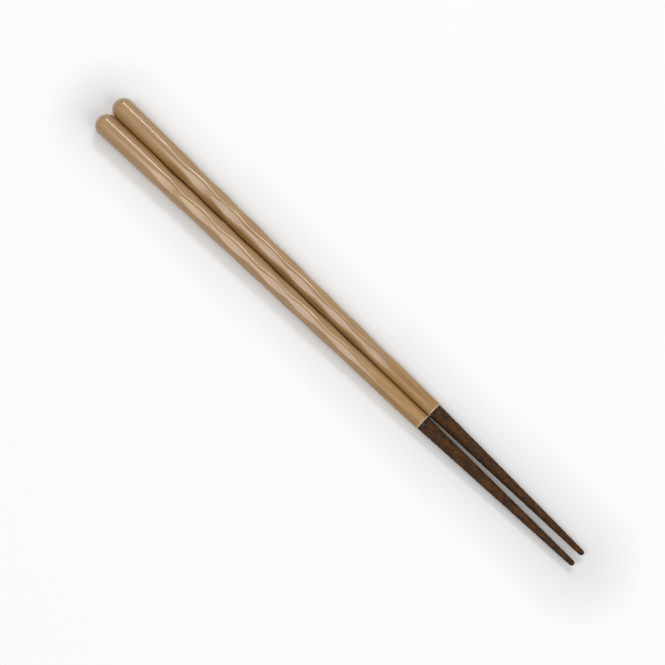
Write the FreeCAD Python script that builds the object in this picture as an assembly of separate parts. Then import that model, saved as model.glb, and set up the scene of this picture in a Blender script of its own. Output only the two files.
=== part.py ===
import FreeCAD, Part

import math
import os

# A pair of bamboo chopsticks lying side by side on a table, butts at -X and tips at +X.
# Each stick is one bamboo rod: a domed butt, a tapering grip planed nearly round and carved
# with shallow scoops, a small shoulder, and a slimmer tip. The tip wears a dark gritty
# lacquer, a coat about a fifth of a millimetre thick from the shoulder to the nose.
# All lengths are in millimetres and all angles in degrees.
# A stick is drawn along its own axis first: s runs from 0 at the butt to the end of the nose.

# Overall size of one stick
stick_length = 230.0
coated_length = 70.0

# Bare bamboo grip
butt_diameter = 8.4
dome_length = 3.6
dome_corner_radius = 2.0
shoulder_diameter = 5.8
shoulder_chamfer = 0.12
grip_flats = 24

# Coated tip
coat_recess = 0.18
coat_thickness = 0.2
tip_diameter = 2.1
core_flats = 12

# Carving: rows of scoops along the grip, every other row half a pitch ahead
scoop_rows = 8
scoops_per_row = 6
first_scoop = 35.0
scoop_pitch = 17.5
scoop_half_angle = 23.0
scoop_wheel_radius = 100.0
scoop_wander = 1.6
scoop_turn = 2.0

# How the pair lies
gap_between_sticks = 0.16
stick_turns = {"left": 331.2, "right": 286.2}
stick_sides = {"left": 1, "right": -1}

# Sizes worked out from those above
bare_length = stick_length - coated_length
butt_radius = butt_diameter / 2
shoulder_radius = shoulder_diameter / 2
tip_radius = tip_diameter / 2
nose_start = stick_length - tip_radius
coat_start_radius = shoulder_radius - coat_recess
core_start_radius = coat_start_radius - coat_thickness
core_end_radius = tip_radius - coat_thickness
taper = math.atan((butt_radius - shoulder_radius) / (bare_length - dome_length))

butt = FreeCAD.Vector(0, 0, 0)
stick_axis = FreeCAD.Vector(1, 0, 0)


def grip_radius(s):
    """Radius of the grip at s, out to the corners of its flats and before carving."""
    return butt_radius - (s - dome_length) * math.tan(taper)


def at(s, r):
    """Point of a profile, at s along the axis and r away from it."""
    return FreeCAD.Vector(s, 0, r)


def line(start, end):
    return Part.LineSegment(start, end).toShape()


def arc(centre, radius, start, end):
    """Arc of a profile. Angle 0 points straight out from the axis, and 90 towards the nose."""
    angles = [math.radians(angle) for angle in (start, (start + end) / 2, end)]
    points = [centre + at(radius * math.sin(angle), radius * math.cos(angle)) for angle in angles]
    return Part.Arc(*points).toShape()


def turned(edges):
    """Solid turned from a closed chain of profile edges."""
    face = Part.Face(Part.Wire(edges))
    return face.revolve(butt, stick_axis, 360)


def dome():
    """Profile of the butt: a crown centred on the axis, then a tighter corner tangent to it."""
    corner = at(dome_length, butt_radius - dome_corner_radius)
    reach = dome_length - dome_corner_radius
    crown_radius = (dome_length**2 + corner.z**2 - dome_corner_radius**2) / (2 * reach)
    join = math.degrees(math.atan2(corner.x - crown_radius, corner.z))
    return [arc(at(crown_radius, 0), crown_radius, -90, join), arc(corner, dome_corner_radius, join, 0)]


def domed_butt():
    edges = dome()
    edges.append(line(at(dome_length, butt_radius), at(dome_length, 0)))
    edges.append(line(at(dome_length, 0), butt))
    return turned(edges)


def ring(s, radius, flats):
    """Corners of a flat-sided section at s."""
    angles = [2 * math.pi * corner / flats for corner in range(flats)]
    return [FreeCAD.Vector(s, radius * math.sin(angle), radius * math.cos(angle)) for angle in angles]


def planed(stations, flats):
    """Tapering solid with flat sides. Each station is a place along the axis and its corners' radius."""
    rings = [ring(s, radius, flats) for s, radius in stations]
    outlines = [rings[0], rings[-1]]
    for start, end in zip(rings, rings[1:]):
        for corner in range(flats):
            outlines.append([start[corner - 1], start[corner], end[corner], end[corner - 1]])
    faces = [Part.Face(Part.makePolygon(outline + outline[:1])) for outline in outlines]
    return Part.Solid(Part.Shell(faces))


def planed_grip():
    """The grip before carving, planed so finely that it feels round, with a small chamfer at its shoulder."""
    chamfer_start = bare_length - shoulder_chamfer
    stations = [
        (dome_length, butt_radius),
        (chamfer_start, grip_radius(chamfer_start)),
        (bare_length, shoulder_radius - shoulder_chamfer),
    ]
    return planed(stations, grip_flats)


def core():
    """The bamboo under the coat: planed to flats that hold the lacquer, and cut off square at the nose."""
    return planed([(bare_length, core_start_radius), (nose_start, core_end_radius)], core_flats)


def tip_coat():
    """The dark coat: round outside, from the shoulder to the nose, and lying on the core inside."""
    coat_start = at(bare_length, coat_start_radius)
    coat_end = at(nose_start, tip_radius)
    edges = [
        line(at(bare_length, 0), coat_start),
        line(coat_start, coat_end),
        arc(at(nose_start, 0), tip_radius, 0, 90),
        line(at(stick_length, 0), at(bare_length, 0)),
    ]
    return turned(edges).cut(core())


def scoop(s, angle):
    """Cutter for one scoop: a big wheel that dips into the grip at s, on the side at angle."""
    depth = grip_radius(s) * (1 - math.cos(math.radians(scoop_half_angle)))
    outward = FreeCAD.Vector(math.sin(taper), 0, math.cos(taper))
    hub = at(s, grip_radius(s)) + outward * (scoop_wheel_radius - depth)
    across = FreeCAD.Vector(0, 1, 0)
    wheel = Part.makeCylinder(scoop_wheel_radius, butt_diameter, hub - across * butt_radius, across)
    wheel.rotate(butt, stick_axis, angle)
    return wheel


def scoop_places(turn):
    """Places of one stick's scoops, as pairs of s and angle. Waves that never repeat keep them uneven."""
    places = []
    for row in range(scoop_rows):
        for step in range(scoops_per_row):
            beat = turn + 2.4 * row + 3.9 * step
            s = first_scoop + scoop_pitch * (step + row % 2 / 2) + scoop_wander * math.sin(beat)
            angle = turn + 360 * row / scoop_rows + scoop_turn * math.sin(1.7 * beat)
            places.append((s, angle))
    return places


def bamboo_rod(turn):
    """One whole stick of bamboo, its scoops started at the given turn about the axis."""
    rod = planed_grip()
    for s, angle in scoop_places(turn):
        rod = rod.cut(scoop(s, angle))
    return rod.fuse(domed_butt()).fuse(core())


def laid_down(shape, side):
    """Lays a stick's shape on the table, so that its grip rests there and runs beside the other one."""
    slope = math.sin(taper)
    forward = FreeCAD.Vector(math.sqrt(1 - 2 * slope**2), -side * slope, -slope)
    offset = butt_radius * math.cos(taper)
    beside = side * (gap_between_sticks / 2 + offset)
    dome_end = FreeCAD.Vector(dome_length - stick_length / 2, beside, offset)
    placement = FreeCAD.Placement()
    placement.Rotation = FreeCAD.Rotation(stick_axis, forward)
    placement.Base = dome_end - forward * dome_length
    moved = shape.copy()
    moved.Placement = placement.multiply(moved.Placement)
    return moved


def save(shape, node):
    solids = shape.Solids
    if len(solids) != 1 or not solids[0].isValid():
        raise ValueError(f"{node} came out as {len(solids)} solids, or as one that isn't valid")
    solids[0].exportStep(os.path.join("parts", node + ".step"))


os.makedirs("parts", exist_ok=True)
for name, side in stick_sides.items():
    save(laid_down(bamboo_rod(stick_turns[name]), side), name + "_stick_bamboo_rod")
    save(laid_down(tip_coat(), side), name + "_stick_tip_coat")
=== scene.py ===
import math

import bpy
import numpy as np
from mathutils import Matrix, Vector


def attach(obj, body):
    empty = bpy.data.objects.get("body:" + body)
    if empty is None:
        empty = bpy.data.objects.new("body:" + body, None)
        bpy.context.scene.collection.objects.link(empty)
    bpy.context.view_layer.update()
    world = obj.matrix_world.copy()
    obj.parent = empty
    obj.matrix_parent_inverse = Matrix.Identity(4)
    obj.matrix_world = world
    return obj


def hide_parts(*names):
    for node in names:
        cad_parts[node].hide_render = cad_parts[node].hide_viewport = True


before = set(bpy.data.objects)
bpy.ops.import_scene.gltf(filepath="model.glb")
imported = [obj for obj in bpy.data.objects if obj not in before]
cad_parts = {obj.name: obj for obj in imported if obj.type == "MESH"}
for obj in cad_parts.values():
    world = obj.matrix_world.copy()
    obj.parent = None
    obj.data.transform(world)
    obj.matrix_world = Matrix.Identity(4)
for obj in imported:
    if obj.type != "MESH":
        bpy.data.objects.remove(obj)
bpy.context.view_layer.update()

# A pair of bamboo chopsticks on a pale floor: two bare bamboo rods with domed butts and
# carved grips, and the dark gritty lacquer on their tips. Sizes are in millimetres and
# angles in degrees, and every mesh is made in metres, where its solid lies.
# A stick is worked out along its own axis: s is 0 at the butt's end and stick_length at the nose.
MM = 0.001

# The same driving sizes as the solids
stick_length = 230.0
coated_length = 70.0
butt_diameter = 8.4
dome_length = 3.6
dome_corner_radius = 2.0
shoulder_diameter = 5.8
coat_recess = 0.18
coat_thickness = 0.2
tip_diameter = 2.1
core_flats = 12
scoop_rows = 8
scoops_per_row = 6
first_scoop = 35.0
scoop_pitch = 17.5
scoop_half_angle = 23.0
scoop_wheel_radius = 100.0
scoop_wander = 1.6
scoop_turn = 2.0
gap_between_sticks = 0.16

# What the carver's hand and the lacquer add
ridge_softness = 0.04
blade_roundness = 0.7
rim_radius = 0.12
grain_size = 0.42
grain_height = 0.07
grain_threshold = 0.35
grain_edge = 0.3
lump_size = 1.3
lump_height = 0.05
least_radius = 0.02

# Where the clear lacquer thins out towards the shoulder
gloss_fade_start = 132.0
gloss_fade_end = 141.0

# How finely the surfaces are drawn, and the angle above which an edge is shaded sharp
rod_columns = 168
rod_step = 0.35
coat_columns = 112
coat_step = 0.16
end_steps = 14
rim_points = 7
core_steps = 10
sharp_angle = 50

sticks = {
    "left": {"side": 1, "turn": 331.2},
    "right": {"side": -1, "turn": 286.2},
}

# Sizes worked out from those above
bare_length = stick_length - coated_length
butt_radius = butt_diameter / 2
shoulder_radius = shoulder_diameter / 2
tip_radius = tip_diameter / 2
nose_start = stick_length - tip_radius
coat_start_radius = shoulder_radius - coat_recess
core_start_radius = coat_start_radius - coat_thickness
core_end_radius = tip_radius - coat_thickness
taper_slope = (butt_radius - shoulder_radius) / (bare_length - dome_length)

# How much light the white surroundings give, where 1 is white
sky_strength = 0.3

# The floor, in metres. Its lift grows with the distance from the pair's middle line, which leaves painted
# shade, a grey halo, round the pair. Further off it turns white with the distance from the origin.
floor_reach = 3.0
floor_lift = 0.17
painted_shade_core = 0.004
painted_shade_reach = 0.024
white_start = 0.25
white_full = 0.9

# Lamps in metres and watts. Each is aimed at its target on the floor.
lamps = {
    "strip": {"size": (0.42, 0.2), "power": 2.7, "place": (-0.32, 0.58, 0.78), "target": (-0.32, 0, 0)},
    "softbox": {"size": (0.44, 0.62), "power": 3.55, "place": (-0.22, -0.5, 1.02), "target": (-0.22, 0, 0)},
    "fill": {"size": (0.8, 0.8), "power": 5.8, "place": (0.95, 0, 0.8), "target": (0, 0, 0)},
}

# Camera, in degrees and metres, with its lens in millimetres. It was fitted to a square picture.
camera_azimuth = 44.27
camera_elevation = 77.8
camera_distance = 0.4838
camera_target = (0.00068, -0.00208, 0.004)
camera_lens = 75.0


def grip_radius(s):
    """Radius of the round grip at s: it falls in a straight line from the dome to the shoulder."""
    return butt_radius - (s - dome_length) * taper_slope


def blend_steps(start, end, steps):
    """Evenly spaced values from start up to, but not including, end."""
    return start + (end - start) * np.arange(steps) / steps


def dome_profile():
    """s and r of the butt: an arc centred on the axis, then a tighter arc tangent to it, by angle."""
    corner_s = dome_length
    corner_r = butt_radius - dome_corner_radius
    reach = dome_length - dome_corner_radius
    crown = (dome_length**2 + corner_r**2 - dome_corner_radius**2) / (2 * reach)
    join = math.atan2(corner_s - crown, corner_r)
    crown_angle = blend_steps(-math.pi / 2, join, end_steps)[1:]
    corner_angle = blend_steps(join, 0.0, end_steps)
    crown_s = crown + crown * np.sin(crown_angle)
    crown_r = crown * np.cos(crown_angle)
    corner_arc_s = corner_s + dome_corner_radius * np.sin(corner_angle)
    corner_arc_r = corner_r + dome_corner_radius * np.cos(corner_angle)
    return np.concatenate([crown_s, corner_arc_s]), np.concatenate([crown_r, corner_arc_r])


def tip_taper(s, start, end):
    """Radius at s of a straight taper, from start at the shoulder to end where the nose begins."""
    return start + (end - start) * (s - bare_length) / (nose_start - bare_length)


def core_radius(s, angle):
    """Radius of the planed core at s and angle: a taper over a section of straight flats."""
    half_flat = math.pi / core_flats
    corner_radius = tip_taper(s, core_start_radius, core_end_radius)
    return corner_radius * math.cos(half_flat) / np.cos(np.mod(angle, 2 * half_flat) - half_flat)


def soft_minimum(values):
    """Lowest of several surfaces. Two that cross meet in a rounded ridge: -k log(sum of exp(-value / k))."""
    lowest = values.min(axis=0)
    return lowest - ridge_softness * np.log(np.exp((lowest - values) / ridge_softness).sum(axis=0))


def carved_radius(s, angle, turn):
    """Radius of the carved grip. Scoop f lies at s_f and angle_f. A wheel of radius W cuts it, so its floor
    is at (floor_f + (s - s_f)^2 / 2W) / cos(angle - angle_f)^roundness, where roundness 1 is flat across and
    0 is round. The grip is the soft minimum of its round form and all these floors. The cosine is held at
    0.2 and more, where a floor is far outside the grip."""
    s, angle = np.broadcast_arrays(s, angle)
    surfaces = [grip_radius(s)]
    edge = math.cos(math.radians(scoop_half_angle)) ** blade_roundness
    for row in range(scoop_rows):
        for step in range(scoops_per_row):
            beat = turn + 2.4 * row + 3.9 * step
            place = first_scoop + scoop_pitch * (step + row % 2 / 2) + scoop_wander * math.sin(beat)
            aim = math.radians(turn + 360 * row / scoop_rows + scoop_turn * math.sin(1.7 * beat))
            floor = grip_radius(place) * edge - taper_slope * (s - place)
            away = np.maximum(np.cos(angle - aim), 0.2) ** blade_roundness
            surfaces.append((floor + (s - place) ** 2 / (2 * scoop_wheel_radius)) / away)
    return soft_minimum(np.stack(surfaces))


def hashed(cells, seed):
    """A fixed number from 0 to 1 for each cell of a cubic lattice, by mixing its three whole coordinates."""
    mixed = np.uint64(seed * 2654435761)
    for axis, prime in enumerate((73856093, 19349663, 83492791)):
        mixed = mixed ^ cells[..., axis].astype(np.uint64) * np.uint64(prime)
    for shift, factor in ((13, 1274126177), (16, 2246822519)):
        mixed = (mixed ^ (mixed >> np.uint64(shift))) * np.uint64(factor) & np.uint64(0xFFFFFFFF)
    return (mixed & np.uint64(0xFFFFFF)).astype(float) / 0xFFFFFF


def lattice_noise(points, cell, seed):
    """Smooth noise from 0 to 1: the lattice's numbers, eased between the eight corners round each point."""
    place = points / cell + 1000.0
    corner = np.floor(place).astype(np.int64)
    part = place - corner
    ease = part * part * (3 - 2 * part)
    total = 0
    for dx in (0, 1):
        for dy in (0, 1):
            for dz in (0, 1):
                weight = np.prod(np.where([dx, dy, dz], ease, 1 - ease), axis=-1)
                total = total + weight * hashed(corner + [dx, dy, dz], seed)
    return total


def lay_down(along, sideways, upwards, side):
    """Points of a stick, from its own axes to the table in metres: the stick is turned from +X to its forward
    direction, down and inwards by the taper, so that the grip lies on the table beside the other one."""
    taper = math.atan(taper_slope)
    slope = math.sin(taper)
    forward = Vector((math.sqrt(1 - 2 * slope**2), -side * slope, -slope))
    offset = butt_radius * math.cos(taper)
    dome_end = Vector((dome_length - stick_length / 2, side * (gap_between_sticks / 2 + offset), offset))
    turn = np.array(Vector((1, 0, 0)).rotation_difference(forward).to_matrix())
    points = np.stack(np.broadcast_arrays(along, sideways, upwards), axis=-1)
    return (points @ turn.T + np.array(dome_end - forward * dome_length)) * MM


def closed_tube(name, s, r, angle, side, first, last):
    """Mesh of rings r(s, angle) about a stick's axis, joined by quads, with a fan to a point on the axis
    at s = first and another at s = last. Each ring's points go round from straight up."""
    rings = lay_down(s, -r * np.sin(angle), r * np.cos(angle), side)
    poles = lay_down(np.array([first, last]), 0.0, 0.0, side)
    rows, columns = rings.shape[:2]
    here = np.arange(rows * columns).reshape(rows, columns)
    beside = np.roll(here, -1, axis=1)
    quads = np.stack([here[:-1], beside[:-1], beside[1:], here[1:]], axis=-1).reshape(-1, 4)
    pole = np.full(columns, rows * columns)
    fans = np.concatenate([
        np.stack([pole, beside[0], here[0]], axis=-1),
        np.stack([pole + 1, here[-1], beside[-1]], axis=-1),
    ])
    points = np.concatenate([rings.reshape(-1, 3), poles])
    mesh = bpy.data.meshes.new(name)
    mesh.from_pydata(points.tolist(), [], quads.tolist() + fans.tolist())
    mesh.shade_smooth()
    mesh.set_sharp_from_angle(angle=math.radians(sharp_angle))
    piece = bpy.data.objects.new(name, mesh)
    bpy.context.scene.collection.objects.link(piece)
    return piece


def set_point_value(piece, name, grid):
    """Stores one number per point of a closed tube. Its two poles take their nearest ring's mean."""
    values = np.concatenate([grid.ravel(), [grid[0].mean(), grid[-1].mean()]]).astype(np.float32)
    piece.data.attributes.new(name, "FLOAT", "POINT").data.foreach_set("value", values)


def columns_round(count):
    """Angles of so many columns round a stick, as one row."""
    return 2 * math.pi * np.arange(count)[None, :] / count


def bamboo_rod(name, side, turn):
    """The whole rod: dome, carved grip, rounded rim, shoulder face and the planed core under the coat.
    Its rings follow that profile from the butt to the core's end."""
    angle = columns_round(rod_columns)
    dome_s, dome_r = dome_profile()
    rim_s = bare_length - rim_radius
    grip_s = np.arange(dome_length, rim_s, rod_step)[:, None]
    grip_r = carved_radius(grip_s, angle, turn)
    rim_angle = np.radians(np.linspace(0, 90, rim_points))[:, None]
    rim_r = grip_radius(rim_s) - rim_radius + rim_radius * np.cos(rim_angle)
    core_s = np.linspace(bare_length, nose_start, core_steps)[:, None]
    s = np.concatenate([dome_s[:, None], grip_s, rim_s + rim_radius * np.sin(rim_angle), core_s])
    r = np.concatenate([
        np.broadcast_to(dome_r[:, None], (len(dome_r), rod_columns)),
        grip_r,
        np.broadcast_to(rim_r, (len(rim_r), rod_columns)),
        core_radius(core_s, angle),
    ])
    s, angle = np.broadcast_to(s, r.shape), np.broadcast_to(angle, r.shape)
    piece = closed_tube(name, s, r, angle, side, 0.0, nose_start)
    set_point_value(piece, "from_butt", s)
    return piece


def tip_coat(name, side):
    """The gritty coat, as a closed shell: out along the core to the shoulder, across the coat's edge, and
    back along the outside to the nose. Grit and lumps only sink into the outer surface:
    depth = grain_height * (1 - grains) + lump_height * (1 - lumps)."""
    angle = columns_round(coat_columns)
    inner_s = np.linspace(nose_start, bare_length, core_steps)[:, None]
    side_s = np.arange(bare_length, nose_start, coat_step)[:, None]
    side_r = tip_taper(side_s, coat_start_radius, tip_radius)
    nose_angle = np.radians(np.linspace(0, 90, end_steps)[:-1])[:, None]
    outer_s = np.concatenate([side_s, nose_start + tip_radius * np.sin(nose_angle)])
    outer_r = np.concatenate([side_r, tip_radius * np.cos(nose_angle)])
    outer_s, outer_r, around = np.broadcast_arrays(outer_s, outer_r, angle)
    places = np.stack([outer_s, outer_r * np.sin(around), outer_r * np.cos(around)], axis=-1)
    fine = lattice_noise(places, grain_size, 11 + side)
    grains = np.clip((fine - grain_threshold) / grain_edge, 0, 1)
    lumps = lattice_noise(places, lump_size, 23 + side)
    depth = grain_height * (1 - grains) + lump_height * (1 - lumps)
    inner_r = core_radius(inner_s, angle)
    s = np.concatenate([np.broadcast_to(inner_s, inner_r.shape), outer_s])
    r = np.concatenate([inner_r, np.maximum(outer_r - depth, least_radius)])
    piece = closed_tube(name, s, r, np.broadcast_to(angle, s.shape), side, nose_start, stick_length)
    inner_rows = np.zeros(inner_r.shape)
    set_point_value(piece, "grit", np.concatenate([inner_rows, 0.6 * grains + 0.4 * lumps]))
    set_point_value(piece, "from_shoulder", s - bare_length)
    return piece


def linear(hex_colour):
    """Linear colour of an sRGB hex value."""
    channels = [int(hex_colour[place:place + 2], 16) / 255 for place in (1, 3, 5)]
    return [c / 12.92 if c <= 0.04045 else ((c + 0.055) / 1.055) ** 2.4 for c in channels] + [1.0]


def add(tree, kind, inputs=None, **settings):
    """Adds a node with its settings. Each input is a number, a vector, a colour or another node's output."""
    made = tree.nodes.new(kind)
    for name, value in settings.items():
        setattr(made, name, value)
    for name, value in (inputs or {}).items():
        if isinstance(value, bpy.types.NodeSocket):
            tree.links.new(value, made.inputs[name])
        else:
            made.inputs[name].default_value = value
    return made


def new_material(name):
    """An empty material, and the tree that its nodes go into."""
    material = bpy.data.materials.new(name)
    material.use_nodes = True
    material.node_tree.nodes.clear()
    return material, material.node_tree


def set_stops(ramp, stops):
    """Gives a colour ramp its stops, as pairs of place and sRGB hex value."""
    elements = ramp.color_ramp.elements
    while len(elements) < len(stops):
        elements.new(1.0)
    for element, (place, colour) in zip(elements, stops):
        element.position = place
        element.color = linear(colour)


def streaky_noise(tree, place, millimetres, detail):
    """Noise whose patches are about so many millimetres across."""
    return add(tree, "ShaderNodeTexNoise", {
        "Vector": place, "Scale": 1 / (millimetres * MM), "Detail": detail,
    }).outputs["Fac"]


def mixed_colour(tree, share, under, over):
    """Colour that goes from under to over as share goes from 0 to 1."""
    return add(tree, "ShaderNodeMixRGB", {"Fac": share, "Color1": under, "Color2": over}).outputs["Color"]


def oiled_bamboo(name, slide):
    """Solid bamboo, carved and rubbed with clear lacquer. Its fibres run along the stick, so every pattern
    is a solid one stretched along X, and the scoops cut across it. The lacquer lies thick on the grip, which
    gives a crisp highlight over a satin one, and thins out before the shoulder, where pale lines along the
    fibres are painted highlights."""
    material, tree = new_material(name)
    place = add(tree, "ShaderNodeTexCoord").outputs["Object"]
    moved = add(tree, "ShaderNodeMapping", {"Vector": place, "Location": slide, "Scale": (0.022, 1, 1)})
    grain_place = moved.outputs["Vector"]
    from_butt = add(tree, "ShaderNodeAttribute", attribute_name="from_butt").outputs["Fac"]

    # Bamboo's vascular bundles are 0.2 to 0.6 mm across; the broader bands are how its colour drifts.
    fibres = streaky_noise(tree, grain_place, 0.55, 2.0)
    bands = streaky_noise(tree, grain_place, 1.9, 1.0)
    bundles = streaky_noise(tree, grain_place, 0.3, 0.0)
    mixed = add(tree, "ShaderNodeMath", {0: fibres, 1: 0.6}, operation="MULTIPLY")
    mixed = add(tree, "ShaderNodeMath", {0: bands, 1: 0.4, 2: mixed.outputs[0]}, operation="MULTIPLY_ADD")
    tone = add(tree, "ShaderNodeValToRGB", {"Fac": mixed.outputs[0]})
    set_stops(tone, [(0.3, "#8D6636"), (0.5, "#9F7945"), (0.7, "#AF8753")])
    flecks = add(tree, "ShaderNodeMapRange", {
        "Value": bundles, "From Min": 0.62, "From Max": 0.78, "To Max": 0.4,
    })
    colour = mixed_colour(tree, flecks.outputs[0], tone.outputs["Color"], linear("#6B4526"))

    # Towards the shoulder the planed fibres have hardly any lacquer. Thin pale lines along them are painted
    # highlights, in place of the lamps' light along fine grooves.
    bare = add(tree, "ShaderNodeMapRange", {
        "Value": from_butt, "From Min": gloss_fade_start, "From Max": gloss_fade_end,
    }).outputs[0]
    # Painted highlight: pale lines along the fibres, mixed in where the lacquer has thinned out.
    pale = add(tree, "ShaderNodeMapRange", {
        "Value": bundles, "From Min": 0.44, "From Max": 0.34, "To Max": 0.4,
    })
    painted_streak_highlights = add(tree, "ShaderNodeMath", {0: pale.outputs[0], 1: bare}, operation="MULTIPLY")
    colour = mixed_colour(tree, painted_streak_highlights.outputs[0], colour, linear("#C7A06C"))

    # A thin pale band is painted on the shoulder's rim as a painted highlight, where the rounded rim catches
    # the light.
    edge = add(tree, "ShaderNodeMapRange", {
        "Value": from_butt, "From Min": bare_length - 0.45, "From Max": bare_length - 0.2,
    })
    colour = mixed_colour(tree, edge.outputs[0], colour, linear("#D6B98E"))

    lacquer = add(tree, "ShaderNodeMapRange", {"Value": bare, "To Min": 1.0, "To Max": 0.25})
    relief = add(tree, "ShaderNodeMapRange", {"Value": bare, "To Min": 0.2, "To Max": 0.9})
    bump = add(tree, "ShaderNodeBump", {
        "Height": fibres, "Strength": relief.outputs[0], "Distance": 0.02 * MM,
    })
    shader = add(tree, "ShaderNodeBsdfPrincipled", {
        "Base Color": colour,
        "Roughness": 0.5,
        "IOR": 1.5,
        "Coat Weight": lacquer.outputs[0],
        "Coat Roughness": 0.14,
        "Coat IOR": 1.5,
        "Normal": bump.outputs["Normal"],
    })
    add(tree, "ShaderNodeOutputMaterial", {"Surface": shader.outputs["BSDF"]})
    return material


def grit_lacquer(name, slide):
    """Dark brown lacquer dusted with grit while wet. It is dull and mottled at about a millimetre. Next to
    the shoulder its colour is darker in an uneven ring, with a few pale specks in it."""
    material, tree = new_material(name)
    place = add(tree, "ShaderNodeTexCoord").outputs["Object"]
    moved = add(tree, "ShaderNodeMapping", {"Vector": place, "Location": slide, "Scale": (0.5, 1, 1)})
    blotches = streaky_noise(tree, moved.outputs["Vector"], 1.7, 2.0)
    grit = add(tree, "ShaderNodeAttribute", attribute_name="grit").outputs["Fac"]
    mixed = add(tree, "ShaderNodeMath", {0: grit, 1: 0.3}, operation="MULTIPLY")
    mixed = add(tree, "ShaderNodeMath", {0: blotches, 1: 0.85, 2: mixed.outputs[0]}, operation="MULTIPLY_ADD")
    tone = add(tree, "ShaderNodeValToRGB", {"Fac": mixed.outputs[0]})
    set_stops(tone, [(0.35, "#241408"), (0.6, "#43290F"), (0.85, "#5C3B1A")])

    # The dark ring ends unevenly, because the noise is added to the distance before it is compared.
    from_shoulder = add(tree, "ShaderNodeAttribute", attribute_name="from_shoulder").outputs["Fac"]
    uneven = add(tree, "ShaderNodeMath", {0: blotches, 1: 1.6, 2: from_shoulder}, operation="MULTIPLY_ADD")
    ring = add(tree, "ShaderNodeMapRange", {
        "Value": uneven.outputs[0], "From Min": 1.9, "From Max": 2.4, "To Min": 0.8, "To Max": 0.0,
    })
    colour = mixed_colour(tree, ring.outputs[0], tone.outputs["Color"], linear("#150B07"))
    pale = add(tree, "ShaderNodeMapRange", {
        "Value": streaky_noise(tree, place, 0.32, 0.0), "From Min": 0.68, "From Max": 0.74,
    })
    grains = add(tree, "ShaderNodeMath", {0: pale.outputs[0], 1: ring.outputs[0]}, operation="MULTIPLY")
    colour = mixed_colour(tree, grains.outputs[0], colour, linear("#A89C8C"))
    shader = add(tree, "ShaderNodeBsdfPrincipled", {
        "Base Color": colour,
        "Roughness": 0.7,
        "IOR": 1.5,
        "Specular IOR Level": 0.2,
    })
    add(tree, "ShaderNodeOutputMaterial", {"Surface": shader.outputs["BSDF"]})
    return material


def background_rays(tree):
    """1 for a ray that shows the background: straight from the camera, mirrored, or through glass."""
    rays = add(tree, "ShaderNodeLightPath").outputs
    shown = add(tree, "ShaderNodeMath", {0: rays["Is Camera Ray"], 1: rays["Is Glossy Ray"]}, operation="ADD")
    inputs = {0: shown.outputs[0], 1: rays["Is Transmission Ray"]}
    return add(tree, "ShaderNodeMath", inputs, operation="ADD", use_clamp=True).outputs[0]


def studio_floor():
    """A large pale floor that keeps the shadow. It is seen a little lifted round the pair, and white far off.
    The lift grows with the distance from the line under the middle of the pair, where it is nothing, so that
    the seam between the sticks stays dark and a painted shade, a grey halo, lies round the pair."""
    mesh = bpy.data.meshes.new("floor")
    corners = [(-1, -1), (1, -1), (1, 1), (-1, 1)]
    mesh.from_pydata([(x * floor_reach, y * floor_reach, 0) for x, y in corners], [], [(0, 1, 2, 3)])
    floor = bpy.data.objects.new("floor", mesh)
    bpy.context.scene.collection.objects.link(floor)
    material, tree = new_material("floor_paint")
    paint = add(tree, "ShaderNodeBsdfDiffuse", {"Color": linear("#F0F0F0")})
    place = add(tree, "ShaderNodeTexCoord").outputs["Object"]
    line_end = (stick_length / 2 * MM, 0, 0)
    line_start = (-line_end[0], 0, 0)
    nearest = add(tree, "ShaderNodeVectorMath", {0: place, 1: line_start}, operation="MAXIMUM").outputs[0]
    nearest = add(tree, "ShaderNodeVectorMath", {0: nearest, 1: line_end}, operation="MINIMUM").outputs[0]
    beside = add(tree, "ShaderNodeVectorMath", {0: place, 1: nearest}, operation="DISTANCE")
    # Painted shade: within a few millimetres of the pair's middle line the floor gets no lift, and the lift
    # fades in further out.
    near = add(tree, "ShaderNodeMapRange", {
        "Value": beside.outputs["Value"], "From Min": painted_shade_core, "From Max": painted_shade_reach, "To Max": floor_lift,
    })
    away = add(tree, "ShaderNodeVectorMath", {0: place}, operation="LENGTH")
    far = add(tree, "ShaderNodeMapRange", {
        "Value": away.outputs["Value"], "From Min": white_start, "From Max": white_full,
    })
    white = add(tree, "ShaderNodeMath", {0: near.outputs[0], 1: far.outputs[0]}, operation="MAXIMUM")
    seen = add(tree, "ShaderNodeMath", {0: white.outputs[0], 1: background_rays(tree)}, operation="MULTIPLY")
    lift = add(tree, "ShaderNodeEmission", {"Color": (1, 1, 1, 1), "Strength": seen.outputs[0]})
    both = add(tree, "ShaderNodeAddShader", {0: paint.outputs[0], 1: lift.outputs[0]})
    add(tree, "ShaderNodeOutputMaterial", {"Surface": both.outputs[0]})
    mesh.materials.append(material)


def aimed(thing, place, target):
    """Puts a lamp or a camera in the scene at place, looking at target."""
    thing.location = place
    thing.rotation_euler = (Vector(target) - Vector(place)).to_track_quat("-Z", "Y").to_euler()
    bpy.context.scene.collection.objects.link(thing)
    return thing


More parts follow.
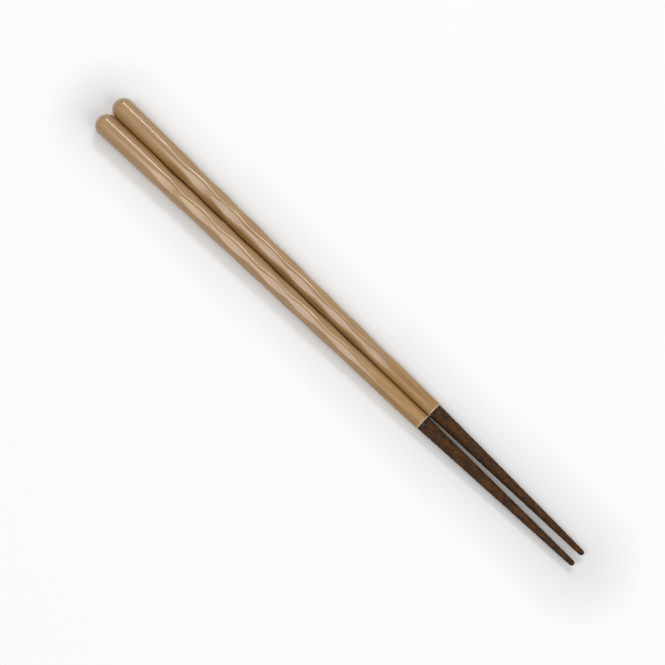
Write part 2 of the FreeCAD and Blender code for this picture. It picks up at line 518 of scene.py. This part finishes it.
def soft_light(name, size, power, place, target):
    """A rectangular lamp, as a studio's soft panel."""
    lamp = bpy.data.lights.new(name, "AREA")
    lamp.shape = "RECTANGLE"
    lamp.size, lamp.size_y = size
    lamp.energy = power
    return aimed(bpy.data.objects.new(name, lamp), place, target)


def direction(azimuth, elevation):
    """Unit vector towards an azimuth, which is 0 at -Y and grows towards +X, and an elevation."""
    around, up = math.radians(azimuth), math.radians(elevation)
    return Vector((math.sin(around) * math.cos(up), -math.cos(around) * math.cos(up), math.sin(up)))


def studio():
    """White surroundings that give little light, three lamps and the floor."""
    world = bpy.data.worlds.new("studio")
    bpy.context.scene.world = world
    world.use_nodes = True
    tree = world.node_tree
    tree.nodes.clear()
    shown = add(tree, "ShaderNodeMapRange", {
        "Value": background_rays(tree), "To Min": sky_strength, "To Max": 1.0,
    })
    sky = add(tree, "ShaderNodeBackground", {"Color": (1, 1, 1, 1), "Strength": shown.outputs[0]})
    add(tree, "ShaderNodeOutputWorld", {"Surface": sky.outputs[0]})
    for name, lamp in lamps.items():
        soft_light(name, **lamp)
    studio_floor()


def camera():
    made = bpy.data.cameras.new("camera")
    made.lens = camera_lens
    made.sensor_width = 36.0
    made.clip_start = 0.01
    target = Vector(camera_target)
    place = target + direction(camera_azimuth, camera_elevation) * camera_distance
    bpy.context.scene.camera = aimed(bpy.data.objects.new("camera", made), place, target)


def chopsticks():
    """Both sticks: each rod and each coat takes the place of its own solid."""
    for name, stick in sticks.items():
        side = stick["side"]
        slide = (0.3 * side, 0.1 * side, 0.2)
        rod = bamboo_rod(name + "_carved_bamboo", side, stick["turn"])
        rod.data.materials.append(oiled_bamboo(name + "_oiled_bamboo", slide))
        coat = tip_coat(name + "_gritty_tip", side)
        coat.data.materials.append(grit_lacquer(name + "_grit_lacquer", slide))
        for piece, node, slot in ((rod, "bamboo_rod", "bamboo"), (coat, "tip_coat", "grit_lacquer")):
            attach(piece, "root")
            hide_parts(name + "_stick_" + node)


chopsticks()
studio()
camera()
bpy.context.scene.view_settings.view_transform = "Standard"
